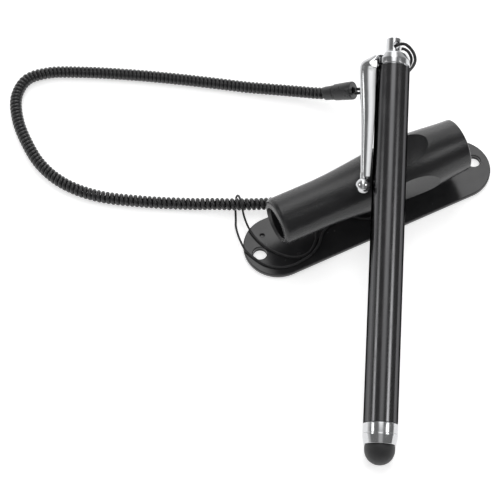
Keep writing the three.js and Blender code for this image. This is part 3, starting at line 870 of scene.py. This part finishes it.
class STYLUS_OT_plate(bpy.types.Operator):
    """Make the oblong plate with its rounded edges, and finish the pad below it"""

    bl_idname = "stylus.plate"
    bl_label = "Plate and pad"

    def execute(self, context):
        sizes = context.scene.stylus_sizes
        low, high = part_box("base_plate")
        thickness = high.z - low.z
        edge = sizes.edge
        end_radius = (high.y - low.y) / 2
        straight = high.x - end_radius
        outline = []
        for side in (1, -1):
            for step in range(65):
                angle = math.pi * (step / 64 - 0.5) + (0 if side > 0 else math.pi)
                outline.append((side * straight + (end_radius - edge) * math.cos(angle),
                                (end_radius - edge) * math.sin(angle)))
        holes = [
            (side * sizes.hole_spacing / 2, 0.0, sizes.mounting_hole / 2) for side in (-1, 1)
        ]
        pit_place = (low.x + 7.1 * MM, 4.8 * MM, 0.55 * MM)
        curve = bpy.data.curves.new("plate_outline", "CURVE")
        curve.dimensions = "2D"
        curve.fill_mode = "BOTH"
        curve.extrude = thickness / 2 - edge
        curve.bevel_depth = edge
        curve.bevel_resolution = 3
        self.add_spline(curve, outline)
        for x, y, radius in [*holes, pit_place]:
            ring = [2 * math.pi * step / 64 for step in range(64)]
            self.add_spline(curve, [
                (x + (radius + edge) * math.cos(angle), y + (radius + edge) * math.sin(angle))
                for angle in reversed(ring)
            ])
        drawn = bpy.data.objects.new("plate_outline", curve)
        context.scene.collection.objects.link(drawn)
        graph = context.evaluated_depsgraph_get()
        mesh = bpy.data.meshes.new_from_object(drawn.evaluated_get(graph))
        bpy.data.objects.remove(drawn)
        mesh.transform(Matrix.Translation((0.0, 0.0, (low.z + high.z) / 2)))
        plate = bpy.data.objects.new("plate", mesh)
        context.scene.collection.objects.link(plate)
        shade(plate, 40.0)
        finish = gloss_moulding()
        finish_piece(plate, finish, "root", "plate_gloss_black", "base_plate")
        floor_outline = rounded([
            (0.0, low.z + 0.2 * MM, 0), (pit_place[2] + 0.3 * MM, low.z + 0.2 * MM, 0),
            (pit_place[2] + 0.3 * MM, high.z - 0.5 * MM, 0), (0.0, high.z - 0.6 * MM, 0),
        ], closed=False)
        pit_spot = Matrix.Translation((pit_place[0], pit_place[1], 0.0))
        pit = turned_piece("plate_pit_floor", floor_outline, pit_spot, sides=32)
        finish_piece(pit, finish, "root", "plate_gloss_black")
        refinish("base_pad", pad_foam())
        return {"FINISHED"}

    def add_spline(self, curve, points):
        spline = curve.splines.new("POLY")
        spline.points.add(len(points) - 1)
        for place, (x, y) in enumerate(points):
            spline.points[place].co = (x, y, 0.0, 1.0)
        spline.use_cyclic_u = True


class STYLUS_OT_holder(bpy.types.Operator):
    """Turn the bellied tube, cut its bore, end hole and grip cuts, and stand it on its neck"""

    bl_idname = "stylus.holder"
    bl_label = "Holder"

    LIP = 1.2 * MM
    MOUTH_EDGE = 0.4 * MM
    END_WALL = 3.0 * MM
    BELLY_PLACE = 12.5 * MM
    BELLY_RISE = 29.0 * MM
    BELLY_FALL = 17.5 * MM
    BORE_RADIUS = 4.9 * MM
    END_HOLE_RADIUS = 4.2 * MM
    END_HOLE_DROP = 1.1 * MM
    GRIP_RADIUS = 31.0 * MM
    GRIP_DEPTH = 1.75 * MM
    GRIP_PLACE = 8.5 * MM
    GRIP_TURNS = (-8, 93, -109)
    NECK_RADIUS = 3.25 * MM

    def radius_at(self, sizes, x):
        """Radius of the tube at a place along it, from its own middle."""
        rising = x < self.BELLY_PLACE
        base = (sizes.holder_end if rising else sizes.holder_mouth) / 2
        slope = self.BELLY_RISE if rising else self.BELLY_FALL
        share = min(1.0, abs(x - self.BELLY_PLACE) / slope)
        return base + (sizes.holder_belly / 2 - base) * 0.5 * (1 + math.cos(math.pi * share))

    def execute(self, context):
        sizes = context.scene.stylus_sizes
        low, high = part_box("holder_body")
        middle = Matrix.Translation(((low.x + high.x) / 2, 0, sizes.holder_height))
        half = (high.x - low.x) / 2
        along_x = middle @ Matrix.Rotation(math.pi / 2, 4, "Y")
        holder = turned_piece("holder", self.skin(sizes, -half, half), along_x, sides=144)
        cutters = [self.grip_cutter(sizes, turn, middle) for turn in self.GRIP_TURNS]
        cutters.append(self.bore_cutter(-half, half, along_x))
        cutters.append(self.end_hole_cutter(-half, along_x))
        carve(holder, cutters, crease=14.0)
        even_normals(holder)
        material = grained_moulding()
        finish_piece(holder, material, "root", "holder_satin_black", "holder_body")
        plate_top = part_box("base_plate")[1].z
        wall = sizes.holder_height - self.BORE_RADIUS - 1.2 * MM
        neck_outline = rounded([
            (0.0, plate_top + 0.02 * MM, 0),
            (self.NECK_RADIUS, plate_top + 0.02 * MM, 0.1 * MM),
            (self.NECK_RADIUS, wall - 1.6 * MM, 1.0 * MM),
            (self.NECK_RADIUS + 0.9 * MM, wall, 0),
            (0.0, wall, 0),
        ], closed=False)
        neck = turned_piece("holder_neck", neck_outline, sides=64)
        finish_piece(neck, material, "root", "holder_satin_black")
        refinish("holder_screw", turned_metal("screw_steel", STEEL_COLOUR))
        return {"FINISHED"}

    def skin(self, sizes, start, end):
        outline = [(0.0, start)]
        lip_centre = sizes.holder_end / 2 - self.LIP
        for step in range(13):
            angle = math.pi / 2 * (step / 12 - 1)
            outline.append((lip_centre + self.LIP * math.cos(angle),
                            start + self.LIP + self.LIP * math.sin(angle)))
        stations = 90
        first = start + self.LIP
        last = end - self.MOUTH_EDGE
        for step in range(1, stations):
            x = first + (last - first) * step / stations
            outline.append((self.radius_at(sizes, x), x))
        mouth = self.radius_at(sizes, last)
        outline += [
            (mouth, last - 0.1 * MM),
            (mouth - 0.1 * MM, last + 0.15 * MM),
            (mouth - self.MOUTH_EDGE, end),
            (0.0, end),
        ]
        return outline

    def grip_cutter(self, sizes, turn, middle):
        length = 40.0 * MM
        reach = sizes.holder_belly / 2 - self.GRIP_DEPTH + self.GRIP_RADIUS
        radius = self.GRIP_RADIUS
        block = [(0, -length / 2), (radius, -length / 2), (radius, length / 2), (0, length / 2)]
        place = (
            middle
            @ Matrix.Rotation(math.radians(turn), 4, "X")
            @ Matrix.Translation((self.GRIP_PLACE, 0, reach))
            @ Matrix.Rotation(math.pi / 2, 4, "X")
        )
        return turned_piece("grip_cutter", block, place, sides=360)

    def bore_cutter(self, start, end, along_x):
        flare = 0.35 * MM
        beyond = 1.0 * MM
        outline = [
            (0, start + self.END_WALL), (self.BORE_RADIUS, start + self.END_WALL),
            (self.BORE_RADIUS, end - flare),
            (self.BORE_RADIUS + flare + beyond, end + beyond),
            (0, end + beyond),
        ]
        return turned_piece("bore_cutter", outline, along_x, sides=96)

    def end_hole_cutter(self, start, along_x):
        flare = 0.75 * MM
        beyond = 1.0 * MM
        outline = [
            (0, start - beyond), (self.END_HOLE_RADIUS + flare + beyond, start - beyond),
            (self.END_HOLE_RADIUS, start + flare), (self.END_HOLE_RADIUS, start + self.END_WALL + beyond),
            (0, start + self.END_WALL + beyond),
        ]
        place = Matrix.Translation((0, 0, -self.END_HOLE_DROP)) @ along_x
        return turned_piece("end_hole_cutter", outline, place, sides=96)


# ---- stylus ----------------------------------------------------------------------------


class STYLUS_OT_tip(bpy.types.Operator):
    """Make the rubber dome and the plated ferrule behind it"""

    bl_idname = "stylus.tip"
    bl_label = "Tip and ferrule"

    def execute(self, context):
        place = STYLUS.place()
        start, _, radius = STYLUS.span("rubber_tip")
        mouth, spigot_end, outer = STYLUS.span("tip_ferrule")
        barrel_start = STYLUS.span("pen_barrel")[0]
        skirt = radius - 0.6 * MM
        dome = [(0.0, start)]
        for step in range(1, 21):
            angle = math.pi / 2 * step / 20
            dome.append((radius * math.sin(angle), start + radius * (1 - math.cos(angle))))
        dome += [
            (radius, mouth - 0.32 * MM), (radius - 0.12 * MM, mouth - 0.1 * MM),
            (skirt, mouth - 0.06 * MM), (skirt, mouth + 2.6 * MM), (0.0, mouth + 2.6 * MM),
        ]
        tip = turned_piece("tip_dome", dome, place, sides=96, crease=40.0)
        finish_piece(tip, dome_rubber(), "stylus", "tip_rubber", "rubber_tip")
        step_place = mouth + 2.6 * MM
        lip = 4.25 * MM
        end = barrel_start - 0.03 * MM
        outline = rounded([
            (skirt + 0.1 * MM, mouth + 0.1 * MM, 0.05 * MM),
            (skirt + 0.25 * MM, mouth, 0.05 * MM),
            (lip, mouth, 0.12 * MM),
            (outer, step_place - 0.3 * MM, 0.25 * MM),
            (outer, step_place, 0.04 * MM),
            (outer - 0.14 * MM, step_place + 0.05 * MM, 0.04 * MM),
            (outer - 0.14 * MM, step_place + 0.14 * MM, 0.03 * MM),
            (outer - 0.04 * MM, step_place + 0.22 * MM, 0.05 * MM),
            (outer - 0.04 * MM, end, 0.12 * MM),
            (radius - 0.4 * MM, end, 0),
            (radius - 0.4 * MM, spigot_end, 0),
            (skirt - 0.9 * MM, spigot_end, 0),
            (skirt - 0.9 * MM, mouth + 3.0 * MM, 0),
            (skirt + 0.1 * MM, mouth + 3.0 * MM, 0),
        ])
        ferrule = turned_piece("ferrule", outline, place, sides=112, crease=28.0)
        finish_piece(ferrule, bright_plating(), "stylus", "chrome", "tip_ferrule")
        refinish("tip_core", turned_metal("core_brass", BRASS_COLOUR))
        return {"FINISHED"}


class STYLUS_OT_barrel(bpy.types.Operator):
    """Make the lacquered tube, and finish the plug in its top"""

    bl_idname = "stylus.barrel"
    bl_label = "Barrel"

    def execute(self, context):
        start, end, radius = STYLUS.span("pen_barrel")
        wall = 0.7 * MM
        edge = 0.16 * MM
        stations = 24
        outline = [(radius - wall, start), (radius - edge, start), (radius, start + edge)]
        for step in range(1, stations):
            outline.append((radius, start + edge + (end - start - 2 * edge) * step / stations))
        outline += [(radius, end - edge), (radius - edge, end), (radius - wall, end)]
        barrel = turned_piece("barrel", outline, STYLUS.place(), sides=128, crease=35.0)
        finish_piece(barrel, barrel_lacquer(), "stylus", "barrel_gloss_black", "pen_barrel")
        refinish("top_plug", plug_moulding())
        return {"FINISHED"}


class STYLUS_OT_collar(bpy.types.Operator):
    """Make the plated collar with its clip slot, and the drilled post on top"""

    bl_idname = "stylus.collar"
    bl_label = "Collar and post"

    LANYARD_TURN = 101.0
    LANYARD_HEIGHT = 2.2 * MM
    LANYARD_RADIUS = 0.95 * MM

    def execute(self, context):
        plating = bright_plating()
        place = STYLUS.place()
        start, top, radius = STYLUS.span("clip_collar")
        shoulder = 3.8 * MM
        ring = rounded([
            (1.6 * MM, start - 0.25 * MM, 0),
            (radius - 0.35 * MM, start - 0.25 * MM, 0),
            (radius - 0.35 * MM, start, 0),
            (radius, start, 0.12 * MM),
            (radius, start + 1.5 * MM, 1.1 * MM),
            (shoulder, top, 0.9 * MM),
            (1.6 * MM, top, 0),
        ], steps=9)
        collar = turned_piece("collar", ring, place, sides=112, crease=28.0)
        collar_slot = self.block(
            (2.35 * MM, radius + 2 * MM), 2.6 * MM, (top - 1.55 * MM, top + 2 * MM), place
        )
        carve(collar, [collar_slot], crease=28.0)
        finish_piece(collar, plating, "stylus", "chrome", "clip_collar")
        _, post_top, _ = STYLUS.span("lanyard_post")
        body = 2.08 * MM
        flange = 2.35 * MM
        outline = rounded([
            (0.0, top - 1.0 * MM, 0),
            (1.3 * MM, top - 1.0 * MM, 0),
            (1.3 * MM, top + 0.08 * MM, 0),
            (flange, top + 0.08 * MM, 0.1 * MM),
            (flange, top + 0.6 * MM, 0.16 * MM),
            (body, top + 0.72 * MM, 0.08 * MM),
            (body, post_top, 0.34 * MM),
            (0.0, post_top, 0),
        ], closed=False)
        post = turned_piece("post", outline, place, sides=80, crease=28.0)
        spot = (
            place
            @ Matrix.Translation((0, 0, top + self.LANYARD_HEIGHT))
            @ Matrix.Rotation(math.radians(self.LANYARD_TURN), 4, "Z")
            @ Matrix.Rotation(math.pi / 2, 4, "Y")
        )
        flare = 0.25 * MM
        beyond = 1.0 * MM
        drill = [
            (0, -body - beyond), (self.LANYARD_RADIUS + flare + beyond, -body - beyond),
            (self.LANYARD_RADIUS, -body + flare), (self.LANYARD_RADIUS, body - flare),
            (self.LANYARD_RADIUS + flare + beyond, body + beyond), (0, body + beyond),
        ]
        carve(post, [turned_piece("drill", drill, spot, sides=64)], crease=28.0)
        finish_piece(post, plating, "stylus", "chrome", "lanyard_post")
        return {"FINISHED"}

    def block(self, across, half_width, along, place):
        points = [
            (x, y, z) for x in across for y in (-half_width, half_width) for z in along
        ]
        faces = [(0, 1, 3, 2), (4, 6, 7, 5), (0, 4, 5, 1), (2, 3, 7, 6), (0, 2, 6, 4), (1, 5, 7, 3)]
        return made_piece("slot_cutter", points, faces, place)


class STYLUS_OT_clip(bpy.types.Operator):
    """Fold the sprung channel of the pocket clip, and make the bead at its end"""

    bl_idname = "stylus.clip"
    bl_label = "Pocket clip"

    SHEET = 0.6 * MM
    TOP_WIDTH = 4.6 * MM
    END_WIDTH = 2.6 * MM
    TONGUE_DEPTH = 0.7 * MM
    TOP_DEPTH = 4.5 * MM
    END_DEPTH = 2.3 * MM
    TOP_REACH = 9.2 * MM
    MIDDLE_REACH = 8.3 * MM
    END_REACH = 7.75 * MM

    def execute(self, context):
        plating = bright_plating()
        place = STYLUS.place()
        collar_top = STYLUS.span("clip_collar")[1]
        barrel = STYLUS.span("pen_barrel")[2]
        height = collar_top - 0.6 * MM
        bead_low, bead_high, _ = STYLUS.span("clip_ball")
        end = bead_high + 0.3 * MM
        path = in_metres([
            (barrel / MM - 1.9, height / MM, 0.0),
            (barrel / MM, height / MM, 0.0),
            (barrel / MM + 1.1, height / MM - 0.25, 100.0),
            (barrel / MM + 2.3, height / MM - 1.0, 300.0),
            (self.TOP_REACH / MM - 0.8, height / MM - 2.1, 600.0),
            (self.TOP_REACH / MM - 0.15, height / MM - 3.2, 900.0),
            (self.TOP_REACH / MM, height / MM - 4.6, 1000.0),
            (self.MIDDLE_REACH / MM, (height + end) / 2 / MM, 1000.0),
            (self.END_REACH / MM, end / MM, 1000.0),
        ])
        rows = self.densified(path)
        points = []
        for place_in_row in range(len(rows)):
            points.extend(self.section(rows, place_in_row, height, end))
        count = len(points) // len(rows)
        faces = []
        for row in range(len(rows) - 1):
            low = row * count
            for corner in range(count):
                after = (corner + 1) % count
                faces.append((low + corner, low + count + corner, low + count + after, low + after))
        faces.append(tuple(range(count)))
        last = (len(rows) - 1) * count
        faces.append(tuple(range(last + count - 1, last - 1, -1)))
        clip = made_piece("clip_channel", points, faces, place, crease=32.0)
        finish_piece(clip, plating, "clip", "chrome", "pocket_clip")
        self.add_bead(plating, bead_low, bead_high, end, place)
        return {"FINISHED"}

    def densified(self, path):
        """More rows where the strip bends, from the same smooth curve as the route's own."""
        bend, _ = smooth_route(path[:7] * (1, 1, 0), 0.22 * MM)
        travelled = distances(path[:7, :2])
        along = distances(bend[:, :2])
        fullness = np.interp(along / along[-1], travelled / travelled[-1], path[:7, 2])
        rows = np.column_stack([bend[:, :2], fullness])
        run, _ = smooth_route(path[5:] * (1, 1, 0), 1.2 * MM)
        run = run[run[:, 1] < path[6, 1] - 0.3 * MM]
        return np.vstack([rows, np.column_stack([run[:, :2], np.full(len(run), path[6, 2])])])

    def section(self, rows, row, height, end):
        """One channel section, its open side towards the stylus."""
        reach, along, fullness = rows[row]
        before = rows[max(0, row - 1)]
        after = rows[min(len(rows) - 1, row + 1)]
        run = Vector((after[0] - before[0], after[1] - before[1])).normalized()
        inward = Vector((run.y, -run.x))
        down = min(1.0, max(0.0, (height - along) / (height - end)))
        width = self.TOP_WIDTH + (self.END_WIDTH - self.TOP_WIDTH) * down
        full = self.TOP_DEPTH + (self.END_DEPTH - self.TOP_DEPTH) * down
        depth = self.TONGUE_DEPTH + (full - self.TONGUE_DEPTH) * min(1.0, fullness)
        half = width / 2
        inner = half - self.SHEET
        lip = 0.1 * MM
        crown = depth * 0.96
        outline = []
        for step in range(17):
            angle = math.pi * (step / 16 - 0.5)
            outline.append((crown - crown * math.cos(angle), half * math.sin(angle)))
        outline += [(depth, half - lip), (depth, inner + lip)]
        for step in range(17):
            angle = math.pi * (0.5 - step / 16)
            sweep = crown - min(self.SHEET, depth * 0.3)
            outline.append((crown - sweep * math.cos(angle), inner * math.sin(angle)))
        outline += [(depth, -inner - lip), (depth, lip - half)]
        return [(reach + inward.x * inset, aside, along + inward.y * inset) for inset, aside in outline]

    def add_bead(self, plating, low, high, end, place):
        radius = (high - low) / 2
        reach = STYLUS.span("clip_ball")[2] - radius
        stem = 0.85 * MM
        outline = [(0.0, low)]
        steps = 32
        for step in range(1, steps):
            angle = math.pi * step / steps
            if radius * math.sin(angle) < stem and step > steps / 2:
                break
            outline.append((radius * math.sin(angle), low + radius * (1 - math.cos(angle))))
        outline += [(stem, high - 0.12 * MM), (stem, end + 1.2 * MM), (0.0, end + 1.2 * MM)]
        spot = place @ Matrix.Translation((reach, 0, 0))
        bead = turned_piece("clip_bead", outline, spot, sides=64, crease=30.0)
        finish_piece(bead, plating, "clip", "chrome", "clip_ball")


# ---- panel and registration ------------------------------------------------------------

OPERATORS = (
    STYLUS_OT_stage,
    STYLUS_OT_tether,
    STYLUS_OT_loops,
    STYLUS_OT_plate,
    STYLUS_OT_holder,
    STYLUS_OT_tip,
    STYLUS_OT_barrel,
    STYLUS_OT_collar,
    STYLUS_OT_clip,
)


class STYLUS_PT_pieces(bpy.types.Panel):
    """The sizes, the colours and the pieces to make"""

    bl_idname = "STYLUS_PT_pieces"
    bl_label = "Tethered Stylus"
    bl_space_type = "VIEW_3D"
    bl_region_type = "UI"
    bl_category = "Stylus"

    def draw(self, context):
        for group in (context.scene.stylus_sizes, context.scene.stylus_colours):
            for name in group.__annotations__:
                self.layout.prop(group, name)
        for operator in OPERATORS:
            self.layout.operator(operator.bl_idname)


CLASSES = (StylusSizes, StylusColours, *OPERATORS, STYLUS_PT_pieces)


def register():
    for cls in CLASSES:
        bpy.utils.register_class(cls)
    bpy.types.Scene.stylus_sizes = PointerProperty(type=StylusSizes)
    bpy.types.Scene.stylus_colours = PointerProperty(type=StylusColours)


def unregister():
    del bpy.types.Scene.stylus_colours
    del bpy.types.Scene.stylus_sizes
    for cls in reversed(CLASSES):
        bpy.utils.unregister_class(cls)


def main():
    register()
    for operator in OPERATORS:
        group, name = operator.bl_idname.split(".")
        getattr(getattr(bpy.ops, group), name)()


if __name__ == "__main__":
    main()
